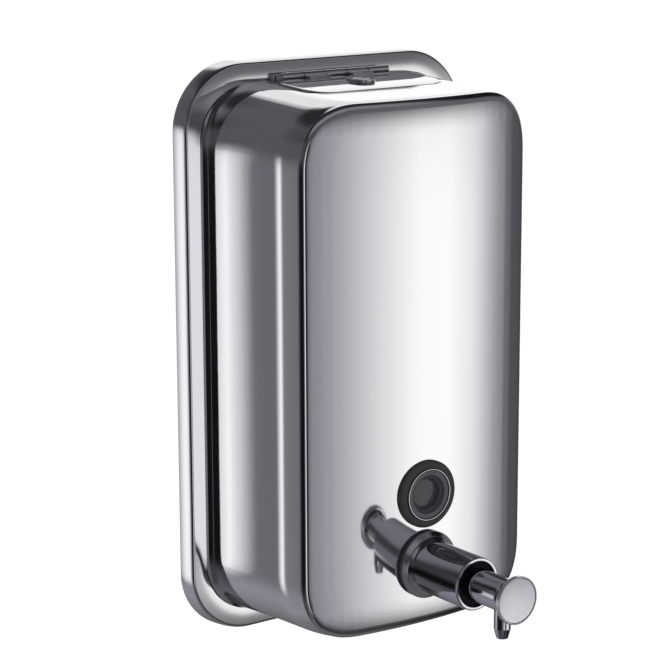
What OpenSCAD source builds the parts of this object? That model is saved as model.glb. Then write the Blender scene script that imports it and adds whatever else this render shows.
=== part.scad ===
// Wall mounted soap dispenser, manual push pump, millimetres.
// Frame: the wall is the plane Y = 0 and the face looks along -Y, with +Z up.
// The origin is the centre of the four screw holes in the wall plate.

/* [Shell] */
// Width of the deep-drawn shell
shell_w = 103; // [90:1:125]
// Height of the deep-drawn shell
shell_h = 199; // [180:1:240]
// Distance from the wall to the side edges of the face
shell_d = 62.2; // [58:0.2:80]
// Radius of the shell's corners, seen from the front
shell_corner = 19.5; // [15:0.5:24]
// How far the face bows out at its middle
face_bow = 6.7; // [4:0.1:10]
// How far the shell's sides flare out where they meet the rim
flare_out = 7.5; // [3:0.1:8.5]
// How far the flare runs forwards from the rim
flare_run = 16; // [12:0.5:20]
// How far the top and bottom rise from the face back to the rim
top_rise = 3.1; // [1:0.1:4]
// Sheet thickness of the shell
shell_wall = 1.2; // [0.8:0.1:1.4]

/* [Rim] */
// How far the rim stands out beside the shell
rim_side = 14; // [12:0.5:18]
// How far the rim stands out above and below the shell
rim_end = 11.5; // [10.5:0.5:15]
// Distance from the wall to the rim's flat front ring
rim_d = 8; // [7.8:0.2:12]
// Radius of the rim's corners, seen from the front
rim_corner = 26; // [24:0.5:30]
// Radius of the rim's rounded front edge
rim_round = 3; // [2:0.1:4]
// Sheet thickness of the rim
rim_wall = 1; // [0.8:0.1:1.4]

/* [Wall plate] */
// Width between the wall screws
screw_dx = 50; // [40:1:60]
// Height between the wall screws
screw_dz = 110; // [90:1:130]
// Radius of the wall screw holes
screw_hole_r = 2.5; // [2:0.1:3]
// Width of the wall plate
plate_w = 84; // [76:1:90]
// Height of the wall plate
plate_h = 140; // [125:1:150]
// Sheet thickness of the wall plate
plate_t = 1.5; // [1.2:0.1:1.6]
// Width of each hook tongue
tongue_w = 12; // [8:0.5:14]
// Height of each hook tongue
tongue_h = 12; // [9:0.5:13]
// Distance between the upper and lower tongues
tongue_dz = 70; // [50:1:74]
// Clearance between the hanger straps and the tongues
hook_gap = 0.3; // [0.2:0.05:0.5]

/* [Lid] */
// Width of the filler lid
lid_w = 62; // [54:1:62]
// Depth of the filler lid, wall to front
lid_d = 29; // [27:0.5:33]
// Corner radius of the filler lid
lid_corner = 9; // [6:0.5:11]
// Sheet thickness of the lid
lid_t = 1.2; // [1:0.1:1.5]
// Gap round the lid in its seat
lid_gap = 0.3; // [0.2:0.05:0.4]
// Thickness of the lid gasket
gasket_t = 0.9; // [0.6:0.1:1]
// Width of the seat under the lid's edge
seat_w = 5.5; // [4.5:0.5:6]
// Radius of the lid's hinge barrel
hinge_r = 1.5; // [1.3:0.1:1.8]
// Radius of the lid's hinge pin
hinge_pin_r = 0.75; // [0.6:0.05:0.8]
// Radius of the lock's round face
lock_r = 5.5; // [4.5:0.25:6]

/* [Sight window] */
// Distance from the pump's centre line up to the sight window's
window_rise = 27.3; // [26.8:0.1:34]
// Radius of the sight window's black ring
window_r = 12.9; // [12:0.1:13]
// Radius of the sight window's clear lens
lens_r = 9.3; // [8.5:0.1:9.5]

/* [Pump] */
// Height of the pump's centre line above the shell's lowest point
pump_z = 23.9; // [22:0.5:30]
// Radius of the bevelled flange ring
flange_r = 12.9; // [12.2:0.1:13]
// Radius of the pump barrel
barrel_r = 10; // [9.5:0.1:10.5]
// Distance from the face to the barrel's open end
barrel_l = 30; // [28:0.5:38]
// Radius of the plunger head
head_r = 6.2; // [5.8:0.1:6.4]
// Radius of the push button
button_r = 9; // [8:0.1:9.5]
// Distance from the face to the button's front
button_reach = 52.8; // [51:0.2:62]
// Travel of the plunger
push_travel = 10; // [8:0.5:10]
// Running clearance round the sliding parts
slide_gap = 0.08; // [0.04:0.01:0.1]
// Radius of the pump chamber
chamber_r = 7; // [6.8:0.1:7.1]
// Radius of the spout
spout_r = 3.1; // [2.6:0.1:3.3]
// Distance from the pump's centre line down to the spout's tip
spout_drop = 16.3; // [14:0.1:20]
// Coils in the return spring
spring_turns = 7; // [5:1:9]
// Wire radius of the return spring
wire_r = 0.55; // [0.4:0.05:0.6]

/* [Hidden] */
$fn = 96;
e = 0.01;

rim_w = shell_w + 2 * rim_side;
rim_h = shell_h + 2 * rim_end;
face_r = shell_w * shell_w / (8 * face_bow) + face_bow / 2;
face_y = -shell_d - face_bow;
bow_centre_y = face_y + face_r;
shell_top = shell_h / 2;
pump_h = -shell_top + pump_z;
window_h = pump_h + window_rise;

// Stack between the rim's ring and the wall, measured away from the wall
panel_t = 1.2;
panel_y1 = rim_d - rim_wall;
panel_y0 = panel_y1 - panel_t;
tongue_t = 1.2;
tongue_y0 = panel_y0 - 1.1 - tongue_t;
strap_y0 = plate_t + hook_gap;
strap_y1 = tongue_y0 - hook_gap;
tank_y = panel_y1 + e;
leg_w = 4;
leg_gap = 1.5;
strap_w = tongue_w + 2 * leg_gap + 2 * leg_w;
tongue_x = plate_w / 2 - strap_w / 2 - 2;

// Slope of the top, and the lid's stations from the rim forwards
top_slope = top_rise / (shell_d - rim_d);
hinge_y = -rim_d - hinge_r - 2.2;
lid_back = hinge_y - hinge_r - 0.5;
lid_mid_y = lid_back - lid_d / 2;
seat_z = shell_top - shell_wall;
lid_z0 = seat_z + gasket_t;
lid_z1 = lid_z0 + lid_t;
hinge_z = shell_top + hinge_r + 0.15;
knuckle_gap = 0.3;
knuckle_l = 10;
neck_h = 8;
frame_t = 1.2;
mouth_w = lid_w - 2 * seat_w;
mouth_d = lid_d - 2 * seat_w;

// Pump stations, measured outwards from the middle of the face
gasket_s = 1.2;
flange_t = 2;
stem_r = barrel_r - 1;
nut_r = 13;
nut_t = 5.5;
cylinder_wall = 1;
cylinder_front = 3;
cylinder_back = -34;
bush_l = 5;
bush_s = barrel_l - 8;
bore_front_r = barrel_r - 1.6;
head_back = cylinder_front + push_travel + 1;
piston_front = -3;
piston_l = 5;
spout_s = button_reach - 8.5;
head_front = button_reach - 1.8;
flare_l = 4.6;
spring_back = cylinder_back + 4;
spring_front = piston_front - piston_l;
spring_r = chamber_r - wire_r - 0.8;
tube_r = 4.4;
tube_bore = 1.6;
elbow_drop = 9;
intake_gap = 4;

// Rounded rectangle of width w, height h and corner radius r
module round_rect(w, h, r) {
    square([w - 2 * r, h], center = true);
    square([w, h - 2 * r], center = true);
    for (x = [-1, 1], z = [-1, 1])
        translate([x * (w / 2 - r), z * (h / 2 - r)])
            circle(r);
}

// Stands a front-view outline up, from depth y0 to depth y1 off the wall
module from_wall(y0, y1) {
    translate([0, -y0, 0])
        rotate([90, 0, 0])
            linear_extrude(y1 - y0)
                children();
}

// Sweeps a profile round a rounded rectangle in the X-Y plane.
// The profile's x runs outwards from the outline, its y runs up.
module sweep_round_rect(w, h, r) {
    for (a = [0:3]) {
        side = a % 2 == 0 ? [w, h] : [h, w];
        rotate(a * 90) {
            translate([side[0] / 2, side[1] / 2 - r, 0])
                rotate([90, 0, 0])
                    linear_extrude(side[1] - 2 * r)
                        children();
            translate([side[0] / 2 - r, side[1] / 2 - r, 0])
                rotate_extrude(angle = 90)
                    translate([r, 0])
                        children();
        }
    }
}

// Puts a part drawn along +Z on a pump or window axis, pointing out of the face
module on_face(z) {
    translate([0, face_y, z])
        rotate([90, 0, 0])
            children();
}

// Everything behind the bowed surface, moved inwards by inset
module behind_face(inset) {
    translate([0, bow_centre_y, 0])
        cylinder(r = face_r - inset, h = 2 * rim_h, center = true, $fn = 720);
}

// Ring along +Z from s0 to s1
module ring(r_out, r_in, s0, s1) {
    translate([0, 0, s0])
        difference() {
            cylinder(r = r_out, h = s1 - s0);
            translate([0, 0, -e])
                cylinder(r = r_in, h = s1 - s0 + 2 * e);
        }
}

// Hexagonal nut along +Z from s0 to s1
module hex_nut(r_out, r_in, s0, s1) {
    translate([0, 0, s0])
        difference() {
            cylinder(r = r_out, h = s1 - s0, $fn = 6);
            translate([0, 0, -e])
                cylinder(r = r_in, h = s1 - s0 + 2 * e);
        }
}

// Half width of the shell at depth y: a flare at the rim, then nearly straight
function half_w(y) = shell_w / 2 + lookup(y, [
    [rim_d, flare_out],
    [rim_d + flare_run * 0.44, flare_out * 0.48],
    [rim_d + flare_run, flare_out * 0.19],
    [shell_d, 0],
    [2 * shell_d, -flare_out * 0.19]
]);

// Half height of the shell at depth y
function half_h(y) = shell_h / 2 + top_slope * (shell_d - y);

// Corner radius of the shell at depth y
function corner_r(y) = shell_corner + 0.6 * (half_w(y) - shell_w / 2);

// Slab of the shell's outline at depth y, of thickness t
module shell_slab(y, t, inset) {
    from_wall(y, y + t)
        round_rect(2 * half_w(y) - 2 * inset, 2 * half_h(y) - 2 * inset, corner_r(y) - inset);
}

// Solid shell form, inset by a wall, from depth y0 to the bowed face
module shell_form(inset, y0) {
    stations = [rim_d, rim_d + flare_run * 0.44, rim_d + flare_run, shell_d + face_bow + 2];
    from_wall(y0, rim_d + 0.1)
        round_rect(2 * half_w(rim_d) - 2 * inset, 2 * half_h(rim_d) - 2 * inset,
            corner_r(rim_d) - inset);
    intersection() {
        translate([0, bow_centre_y, 0])
            cylinder(r = face_r - inset, h = 2 * rim_h, center = true, $fn = 720);
        for (i = [0:2])
            hull() {
                shell_slab(stations[i], 0.01, inset, $fn = 32);
                shell_slab(stations[i + 1], 0.01, inset, $fn = 32);
            }
    }
}

// Turns a part drawn on a level top at height shell_top onto the sloping one
module on_top() {
    translate([0, hinge_y, half_h(-hinge_y)])
        rotate([atan(top_slope), 0, 0])
            translate([0, -hinge_y, -shell_top])
                children();
}

// Screwed to the wall, with four tongues that the hanger straps drop over
module wall_plate() {
    color("lightsteelblue")
        difference() {
            union() {
                from_wall(0, plate_t)
                    round_rect(plate_w, plate_h, 8);
                for (x = [-1, 1], z = [-1, 1])
                    translate([x * tongue_x - tongue_w / 2, 0, z * tongue_dz / 2]) {
                        translate([0, -tongue_y0 - tongue_t, -2])
                            cube([tongue_w, tongue_y0 + tongue_t - plate_t + e, 2]);
                        translate([0, -tongue_y0 - tongue_t, -2])
                            cube([tongue_w, tongue_t, tongue_h + 2]);
                    }
            }
            for (x = [-1, 1], z = [-1, 1])
                translate([x * screw_dx / 2, e, z * screw_dz / 2])
                    rotate([90, 0, 0])
                        cylinder(r = screw_hole_r, h = plate_t + 2 * e);
        }
}

// Closes the back of the tank, inside the rim
module rear_panel() {
    inset = rim_round + 0.1;
    color("gainsboro")
        from_wall(panel_y0, panel_y1)
            round_rect(rim_w - 2 * inset, rim_h - 2 * inset, rim_corner - inset);
}

// Bridge-shaped straps welded to the rear panel, one behind each tongue
module hanger_straps() {
    color("darkgray")
        for (x = [-1, 1], z = [-1, 1])
            translate([x * tongue_x - strap_w / 2, 0, z * tongue_dz / 2]) {
                translate([0, -strap_y1, 2 * e])
                    cube([strap_w, strap_y1 - strap_y0, tongue_h - 3]);
                for (leg = [0, strap_w - leg_w])
                    translate([leg, -panel_y0, 2 * e])
                        cube([leg_w, panel_y0 - strap_y0, tongue_h - 3]);
            }
}

// Rolled rim: a skirt to the wall, a rounded edge and a flat ring
module rear_rim() {
    color("silver")
        difference() {
            rotate([90, 0, 0])
                sweep_round_rect(rim_w, rim_h, rim_corner)
                    rim_profile();
            from_wall(0, rim_d + e)
                round_rect(2 * half_w(rim_d), 2 * half_h(rim_d), corner_r(rim_d));
        }
}

// Section of the rim, outwards from its outline and up from the wall
module rim_profile() {
    inner = rim_round - rim_wall;
    reach = rim_side + 6;
    difference() {
        union() {
            translate([-rim_wall, 0])
                square([rim_wall, rim_d - rim_round]);
            translate([-rim_round, rim_d - rim_round])
                intersection() {
                    circle(rim_round);
                    square(rim_round);
                }
            translate([-reach, rim_d - rim_wall])
                square([reach - rim_round, rim_wall]);
        }
        translate([-rim_round, rim_d - rim_round])
            circle(inner);
    }
}

// Deep-drawn body with its mouth, window hole and pump hole
module front_shell() {
    color("whitesmoke")
        difference() {
            shell_form(0, tank_y);
            shell_form(shell_wall, tank_y - 1);
            on_top()
                translate([0, lid_mid_y, shell_top - shell_wall - 0.3])
                    linear_extrude(shell_wall + 2)
                        round_rect(lid_w + 2 * lid_gap, lid_d + 2 * lid_gap, lid_corner + lid_gap);
            on_face(pump_h)
                translate([0, 0, -6])
                    cylinder(r = stem_r + 0.1, h = 12);
            on_face(window_h)
                translate([0, 0, -6])
                    cylinder(r = lens_r + 0.1, h = 12);
        }
}

// Seat and neck under the mouth, welded inside the top and shaped to it
module filler_frame() {
    color("lightgray")
        intersection() {
            shell_form(shell_wall, tank_y);
            on_top()
                translate([0, lid_mid_y, 0])
                    difference() {
                        union() {
                            translate([0, 0, seat_z - frame_t])
                                linear_extrude(frame_t)
                                    round_rect(lid_w + 7, lid_d + 7, lid_corner + 3);
                            translate([0, 0, seat_z - neck_h])
                                linear_extrude(neck_h)
                                    round_rect(mouth_w + 2.4, mouth_d + 2.4, 5.2);
                        }
                        translate([0, 0, seat_z - neck_h - e])
                            linear_extrude(neck_h + 3 * e)
                                round_rect(mouth_w, mouth_d, 4);
                    }
        }
}

// Flat rubber ring on the seat
module lid_gasket() {
    color("dimgray")
        on_top()
            translate([0, lid_mid_y, seat_z])
                linear_extrude(gasket_t)
                    difference() {
                        round_rect(lid_w, lid_d, lid_corner);
                        round_rect(mouth_w + 1, mouth_d + 1, 4.5);
                    }
}

// One hinge knuckle from x0, of length l
module knuckle(x0, l) {
    translate([x0, hinge_y, hinge_z])
        rotate([0, 90, 0])
            cylinder(r = hinge_r, h = l);
}

// Clears the hinge pin out of a leaf
module pin_bore() {
    translate([-40, hinge_y, hinge_z])
        rotate([0, 90, 0])
            cylinder(r = hinge_pin_r + slide_gap / 2, h = 80);
}

// Fixed leaf behind the lid, with three knuckles
module hinge_leaf() {
    span = 5 * knuckle_l;
    leaf_back = hinge_y + hinge_r + 1.7;
    color("silver")
        on_top()
            difference() {
                union() {
                    for (i = [0, 2, 4]) {
                        x0 = -span / 2 + i * knuckle_l + knuckle_gap / 2;
                        knuckle(x0, knuckle_l - knuckle_gap);
                        translate([x0, hinge_y, shell_top])
                            cube([knuckle_l - knuckle_gap, leaf_back - hinge_y, hinge_r]);
                    }
                    translate([-span / 2 + knuckle_gap / 2, hinge_y + hinge_r + 0.2, shell_top])
                        cube([span - knuckle_gap, leaf_back - hinge_y - hinge_r - 0.2, 0.8]);
                }
                pin_bore();
            }
}

// Pin through all five knuckles
module hinge_pin() {
    span = 5 * knuckle_l;
    color("gray")
        on_top()
            translate([-span / 2, hinge_y, hinge_z])
                rotate([0, 90, 0])
                    cylinder(r = hinge_pin_r, h = span);
}

// Filler lid, a pressed plate with a rounded upper edge
module lid() {
    edge = 0.6;
    color("white")
        on_top()
            translate([0, lid_mid_y, lid_z0])
                difference() {
                    union() {
                        linear_extrude(lid_t - edge)
                            round_rect(lid_w, lid_d, lid_corner);
                        linear_extrude(lid_t)
                            round_rect(lid_w - 2 * edge, lid_d - 2 * edge, lid_corner - edge);
                        translate([0, 0, lid_t - edge])
                            sweep_round_rect(lid_w - 2 * edge, lid_d - 2 * edge, lid_corner - edge)
                                intersection() {
                                    circle(edge);
                                    square(edge);
                                }
                    }
                    translate([0, 0, -e])
                        cylinder(r = lock_r - 1, h = lid_t + 2 * e);
                }
}

// Moving leaf: two knuckles and the tabs that join them to the lid
module lid_leaf() {
    span = 5 * knuckle_l;
    tab_z0 = shell_top + 0.1;
    color("silver")
        on_top()
            difference() {
                for (i = [1, 3]) {
                    x0 = -span / 2 + i * knuckle_l + knuckle_gap / 2;
                    l = knuckle_l - knuckle_gap;
                    knuckle(x0, l);
                    translate([x0, lid_back - 3, lid_z1])
                        cube([l, hinge_y - lid_back + 3, 0.8]);
                    translate([x0, lid_back + e, tab_z0])
                        cube([l, hinge_y - lid_back - hinge_pin_r, lid_z1 - tab_z0 + e]);
                }
                pin_bore();
            }
}

// Round lock body clamped in the lid
module lock_housing() {
    color("silver")
        on_top()
            translate([0, lid_mid_y, 0]) {
                ring(lock_r, lock_r - 2, lid_z1, lid_z1 + 1);
                ring(lock_r - 1.1, lock_r - 2, lid_z0 - 9, lid_z1);
            }
}

// Thin nut that clamps the lock body under the lid
module lock_nut() {
    color("goldenrod")
        on_top()
            translate([0, lid_mid_y, 0])
                ring(lock_r + 0.9, lock_r - 1.05, lid_z0 - 2.6, lid_z0 - 0.1);
}

// Turning core of the lock with a key slot
module lock_plug() {
    color("darkgray")
        on_top()
            translate([0, lid_mid_y, 0])
                difference() {
                    union() {
                        translate([0, 0, lid_z0 - 9.2])
                            cylinder(r = lock_r - 2 - slide_gap, h = lid_z1 - lid_z0 + 10);
                        translate([-1.5, -1.5, lid_z0 - 10.8])
                            cube([3, 3, 2]);
                    }
                    translate([-lock_r + 3, -0.6, lid_z1 - 3])
                        cube([2 * lock_r - 6, 1.2, 5]);
                    translate([0, 0, lid_z0 - 11])
                        cylinder(r = 0.8, h = 6);
                }
}

// Cam that swings under the neck when the lock is turned
module lock_cam() {
    cam_l = mouth_d / 2 + 4;
    color("gray")
        on_top()
            translate([0, lid_mid_y, lid_z0 - 10.7])
                difference() {
                    union() {
                        cylinder(r = 3.6, h = 1.4);
                        translate([0, -3.6, 0])
                            cube([cam_l, 7.2, 1.4]);
                    }
                    translate([-1.55, -1.55, -e])
                        cube([3.1, 3.1, 2]);
                }
}

// Screw that holds the cam on the core
module cam_screw() {
    color("dimgray")
        on_top()
            translate([0, lid_mid_y, lid_z0 - 10.85]) {
                translate([0, 0, -1.5])
                    cylinder(r = 3, h = 1.5);
                cylinder(r = 0.75, h = 5);
            }
}

// Black rubber ring that follows the bowed face
module window_seal() {
    color("black")
        difference() {
            on_face(window_h)
                rotate_extrude()
                    difference() {
                        translate([lens_r + 0.7, -1])
                            square([window_r - lens_r - 0.7, 2.6]);
                        translate([window_r, 1.6])
                            rotate(45)
                                square(1.1, center = true);
                    }
            behind_face(0);
        }
}

// Thin bright ring round the lens
module window_ring() {
    color("white")
        on_face(window_h)
            rotate_extrude()
                translate([lens_r + 0.02, 0.02]) {
                    square([0.66, 1.78]);
                    translate([0.33, 1.78])
                        circle(0.33);
                }
}

// Clear window body with a dished front and a threaded tail
module window_lens() {
    color("darkslategray", 0.8)
        on_face(window_h)
            rotate_extrude()
                difference() {
                    union() {
                        translate([0, -9])
                            square([lens_r - 0.6, 9]);
                        translate([0, -shell_wall])
                            square([lens_r, shell_wall + 1.6]);
                    }
                    polygon([
                        [0, -1.6], [lens_r - 3.1, -1.6], [lens_r - 3.1, 0.4],
                        [lens_r - 1.8, 1.7], [0, 1.7]
                    ]);
                }
}

// Rubber washer inside the shell, shaped to the bow
module window_washer() {
    color("dimgray")
        intersection() {
            on_face(window_h)
                ring(nut_r - 1.2, lens_r - 0.5, -shell_wall - 3, -shell_wall + 1);
            behind_face(shell_wall);
        }
}

// Ring nut that clamps the window
module window_nut() {
    color("dimgray")
        on_face(window_h)
            hex_nut(nut_r, lens_r - 0.55, -shell_wall - 3 - nut_t, -shell_wall - 3);
}

// Rubber gasket under the pump flange, shaped to the bow
module pump_gasket() {
    color("dimgray")
        difference() {
            on_face(pump_h)
                ring(flange_r - 0.5, stem_r + 0.1, -1, gasket_s);
            behind_face(-e);
        }
}

// Bevelled ring against the face
module pump_flange() {
    color("silver")
        on_face(pump_h)
            translate([0, 0, gasket_s])
                rotate_extrude()
                    polygon([
                        [stem_r + 0.05, 0], [flange_r, 0], [flange_r, 0.8],
                        [flange_r - 1.7, flange_t], [stem_r + 0.05, flange_t]
                    ]);
}

// Chrome barrel with a filleted root and a threaded stem
module pump_barrel() {
    s0 = gasket_s + flange_t;
    root = 1.2;
    color("silver")
        on_face(pump_h)
            rotate_extrude()
                difference() {
                    union() {
                        translate([0, s0])
                            square([barrel_r, barrel_l - s0 - 0.4]);
                        translate([0, s0])
                            square([barrel_r - 0.4, barrel_l - s0]);
                        translate([barrel_r - 0.4, barrel_l - 0.4])
                            circle(0.4);
                        translate([0, s0])
                            square([barrel_r + root, root]);
                        translate([0, -14])
                            square([stem_r, s0 + 14 + e]);
                    }
                    translate([barrel_r + root, s0 + root])
                        circle(root);
                    translate([0, -15])
                        square([chamber_r + cylinder_wall + 0.05, 15 + cylinder_front]);
                    translate([0, cylinder_front - e])
                        square([head_r + 0.6, 3]);
                    translate([0, cylinder_front + 1])
                        square([bore_front_r, barrel_l]);
                }
}

// Rubber washer inside the shell, shaped to the bow
module pump_washer() {
    color("dimgray")
        intersection() {
            on_face(pump_h)
                ring(nut_r - 1.2, stem_r + 0.05, -shell_wall - 3, -shell_wall + 1);
            behind_face(shell_wall);
        }
}

// Nut that clamps the pump to the shell
module pump_nut() {
    color("gainsboro")
        on_face(pump_h)
            hex_nut(nut_r, stem_r + 0.05, -shell_wall - 3 - nut_t, -shell_wall - 3);
}

// Nylon bush that guides the plunger head
module guide_bush() {
    color("whitesmoke")
        on_face(pump_h)
            ring(bore_front_r, head_r + slide_gap, bush_s - bush_l, bush_s);
}

// Pump chamber, closed at the back round the inlet
module pump_cylinder() {
    color("ghostwhite")
        on_face(pump_h)
            rotate_extrude()
                difference() {
                    translate([0, cylinder_back])
                        square([chamber_r + cylinder_wall, cylinder_front - cylinder_back]);
                    translate([0, spring_back])
                        square([chamber_r, 60]);
                    translate([0, cylinder_back - 1])
                        square([3.4, 10]);
                }
}

// Elbow at the back of the chamber with the inlet valve seat
module inlet_elbow() {
    s1 = cylinder_back - 0.05;
    color("ghostwhite")
        difference() {
            union() {
                on_face(pump_h)
                    translate([0, 0, s1 - 9])
                        cylinder(r = 5, h = 9);
                on_face(pump_h)
                    translate([0, 0, s1 - 1.5])
                        cylinder(r = chamber_r + 1, h = 1.5);
                translate([0, face_y - s1 + 4.5, pump_h - elbow_drop])
                    cylinder(r = 4, h = elbow_drop);
            }
            on_face(pump_h)
                translate([0, 0, s1 - 7])
                    cylinder(r = 3.2, h = 8);
            translate([0, face_y - s1 + 4.5, pump_h - elbow_drop - e])
                cylinder(r = 2.6, h = elbow_drop);
        }
}

// Inlet valve ball behind the chamber
module inlet_ball() {
    color("silver")
        on_face(pump_h)
            translate([0, 0, cylinder_back - 3.2])
                sphere(r = 2.8, $fn = 48);
}

// Tube that reaches down to the floor of the tank
module intake_tube() {
    y = face_y - cylinder_back + 0.05 + 4.5;
    z0 = -shell_top + shell_wall + intake_gap;
    color("aliceblue")
        translate([0, y, z0])
            difference() {
                cylinder(r = 2.55, h = pump_h - z0 - 4);
                translate([0, 0, -e])
                    cylinder(r = 1.7, h = pump_h - z0);
            }
}

// Compression spring between the chamber's back and the piston
module return_spring() {
    steps = 14;
    sides = 6;
    n = spring_turns * steps;
    low = spring_back + wire_r + 0.1;
    rise = spring_front - spring_back - 2 * wire_r - 0.2;
    points = [
        for (i = [0:n], j = [0:sides - 1])
            let (a = 360 * i / steps, b = 360 * j / sides, r = spring_r + wire_r * cos(b))
                [r * cos(a), r * sin(a), low + rise * i / n + wire_r * sin(b)]
    ];
    walls = [
        for (i = [0:n - 1], j = [0:sides - 1])
            let (k = (j + 1) % sides)
                [i * sides + j, i * sides + k, (i + 1) * sides + k, (i + 1) * sides + j]
    ];
    first = [for (j = [0:sides - 1]) sides - 1 - j];
    last = [for (j = [0:sides - 1]) n * sides + j];
    color("slategray")
        on_face(pump_h)
            polyhedron(points = points, faces = concat([first], walls, [last]));
}

// Piston on the inner end of the plunger
module piston() {
    color("white")
        on_face(pump_h)
            rotate_extrude()
                difference() {
                    translate([tube_bore, piston_front - piston_l])
                        square([chamber_r - slide_gap - tube_bore, piston_l]);
                    translate([chamber_r - 1.2, piston_front - piston_l / 2 - 1])
                        square([3, 2]);
                    translate([0, piston_front - 3])
                        square([tube_r + 0.02, 4]);
                }
}

// Seal ring in the piston's groove
module piston_seal() {
    color("black")
        on_face(pump_h)
            translate([0, 0, piston_front - piston_l / 2])
                rotate_extrude()
                    translate([chamber_r - 0.62, 0])
                        scale([0.56, 0.56])
                            circle(1);
}

// Hollow tube between the piston and the plunger head
module plunger_tube() {
    color("gainsboro")
        on_face(pump_h)
            difference() {
                translate([0, 0, piston_front - 3])
                    cylinder(r = tube_r, h = spout_s + 2 - piston_front + 3);
                translate([0, 0, piston_front - 4])
                    cylinder(r = tube_bore, h = spout_s - piston_front + 4);
                translate([0, 0, piston_front + 1])
                    cylinder(r = 2.7, h = 8);
                translate([0, -8, spout_s])
                    rotate([-90, 0, 0])
                        cylinder(r = tube_bore, h = 8);
            }
}

// Outlet valve ball inside the plunger tube
module outlet_ball() {
    color("silver")
        on_face(pump_h)
            translate([0, 0, piston_front + 3.6])
                sphere(r = 2.4, $fn = 48);
}

// Chrome sleeve that flares into the button
module plunger_head() {
    flare = button_r - head_r;
    arc_r = (flare * flare + flare_l * flare_l) / (2 * flare);
    color("silver")
        on_face(pump_h)
            difference() {
                rotate_extrude()
                    difference() {
                        translate([0, head_back])
                            square([button_r, head_front - head_back]);
                        translate([head_r + arc_r, head_front - flare_l])
                            circle(arc_r, $fn = 180);
                        translate([head_r, head_back - 1])
                            square([arc_r, head_front - flare_l - head_back + 1]);
                        translate([0, head_back - 1])
                            square([tube_r + 0.02, spout_s + 2 - head_back + 1]);
                    }
                translate([0, -head_r - 4, spout_s])
                    rotate([-90, 0, 0])
                        cylinder(r = spout_r + 0.02, h = head_r - tube_r + 4);
            }
}

// Push button with a shallow cone in its front and a thin rim
module button_cap() {
    cap_t = button_reach - head_front;
    color("lightgray")
        on_face(pump_h)
            translate([0, 0, head_front])
                rotate_extrude()
                    polygon([
                        [0, 0], [button_r, 0], [button_r, cap_t - 0.3], [button_r - 0.3, cap_t],
                        [button_r - 0.9, cap_t], [button_r - 1.1, cap_t - 0.25], [0, cap_t - 1]
                    ]);
}

// Short tapered nozzle under the plunger head
module spout() {
    taper = 3.6;
    tip = 0.9;
    top = -tube_r - 0.05;
    color("silver")
        translate([0, face_y - spout_s, pump_h])
            rotate_extrude()
                difference() {
                    union() {
                        translate([0, -spout_drop + taper])
                            square([spout_r, spout_drop - taper + top]);
                        polygon([
                            [0, -spout_drop], [spout_r - tip, -spout_drop],
                            [spout_r, -spout_drop + taper + e], [0, -spout_drop + taper + e]
                        ]);
                    }
                    translate([0, -spout_drop - 1])
                        square([tube_bore - 0.1, spout_drop + 2]);
                }
}

wall_plate();
rear_panel();
hanger_straps();
rear_rim();
front_shell();
filler_frame();
lid_gasket();
hinge_leaf();
hinge_pin();
lid();
lid_leaf();
lock_housing();
lock_nut();
lock_plug();
lock_cam();
cam_screw();
window_seal();
window_ring();
window_lens();
window_washer();
window_nut();
pump_gasket();
pump_flange();
pump_barrel();
pump_washer();
pump_nut();
guide_bush();
pump_cylinder();
inlet_elbow();
inlet_ball();
intake_tube();
return_spring();
piston();
piston_seal();
plunger_tube();
outlet_ball();
plunger_head();
button_cap();
spout();
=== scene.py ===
import math

import bmesh
import bpy
from mathutils import Matrix, Vector


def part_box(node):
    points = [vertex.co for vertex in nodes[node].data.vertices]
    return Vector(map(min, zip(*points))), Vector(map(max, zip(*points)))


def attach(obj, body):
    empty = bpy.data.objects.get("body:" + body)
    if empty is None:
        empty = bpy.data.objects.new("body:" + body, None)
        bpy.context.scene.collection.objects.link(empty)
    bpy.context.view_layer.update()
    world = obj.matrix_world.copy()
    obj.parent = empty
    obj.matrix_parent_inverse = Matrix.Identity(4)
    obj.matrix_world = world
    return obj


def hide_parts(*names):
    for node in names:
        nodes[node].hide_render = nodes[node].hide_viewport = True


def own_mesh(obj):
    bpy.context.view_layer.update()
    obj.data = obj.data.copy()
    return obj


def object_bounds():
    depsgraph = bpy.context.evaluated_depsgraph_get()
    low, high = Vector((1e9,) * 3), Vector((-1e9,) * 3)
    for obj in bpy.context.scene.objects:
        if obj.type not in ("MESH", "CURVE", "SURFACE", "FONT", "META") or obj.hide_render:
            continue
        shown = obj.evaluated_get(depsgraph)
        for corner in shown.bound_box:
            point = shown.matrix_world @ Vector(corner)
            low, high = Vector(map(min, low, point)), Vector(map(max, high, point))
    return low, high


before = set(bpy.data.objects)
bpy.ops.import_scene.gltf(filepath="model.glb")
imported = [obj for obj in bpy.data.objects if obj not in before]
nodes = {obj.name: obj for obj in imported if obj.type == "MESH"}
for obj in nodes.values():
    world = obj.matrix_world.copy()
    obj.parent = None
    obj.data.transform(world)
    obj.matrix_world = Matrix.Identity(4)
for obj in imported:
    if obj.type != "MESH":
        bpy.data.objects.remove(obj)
cad_box = [list(corner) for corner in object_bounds()]
mm = 0.001


# ---------------------------------------------------------------------------
# Wall plate, rear panel and hanger straps
# Satin stainless sheet, guillotined and spot welded. The plate is screwed to
# the wall and the straps on the panel drop over its tongues.


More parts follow.
